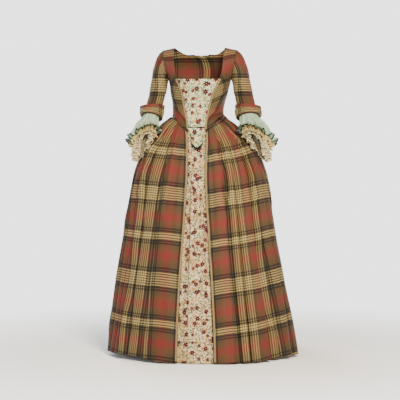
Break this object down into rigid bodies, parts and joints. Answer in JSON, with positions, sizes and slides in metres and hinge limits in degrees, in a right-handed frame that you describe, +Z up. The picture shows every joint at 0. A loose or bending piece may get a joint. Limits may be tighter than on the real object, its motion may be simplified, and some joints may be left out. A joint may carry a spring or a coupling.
{
  "type": "robe a la francaise",
  "caption": "Sack-back gown with a fitted open bodice, elbow sleeves with ruffles, a stomacher, and an open pleated skirt over a full petticoat.",
  "frame": {"origin": "middle of the shoulder line, where the wearer's shoulders hold the gown up", "axes": "+Z up, -Y towards the front, +X towards the wearer's left"},
  "size_m": [0.8707, 1.0376, 1.4251],
  "materials": {
    "plaid": "checked wool and silk weave, soft sheen",
    "floral": "figured cotton satin, matt",
    "silk": "thin silk taffeta, soft sheen",
    "lace": "bobbin lace, matt",
    "trim": "woven braid, matt"
  },
  "bodies": {
    "root": {"bodice_back": "plaid", "bodice_front_left": "plaid", "bodice_front_right": "plaid", "braid_bodice_left": "trim", "braid_bodice_right": "trim", "braid_skirt_left": "trim", "braid_skirt_right": "trim", "cuff_left": "plaid", "cuff_right": "plaid", "petticoat_back": "floral", "petticoat_front": "floral", "ruffle_lace_lower_left": "lace", "ruffle_lace_lower_right": "lace", "ruffle_lace_upper_left": "lace", "ruffle_lace_upper_right": "lace", "ruffle_silk_left": "silk", "ruffle_silk_right": "silk", "sack_back": "plaid", "skirt_front_left": "plaid", "skirt_front_right": "plaid", "skirt_side_left": "plaid", "skirt_side_right": "plaid", "sleeve_left": "plaid", "sleeve_right": "plaid", "stomacher": "floral"}
  },
  "joints": []
}
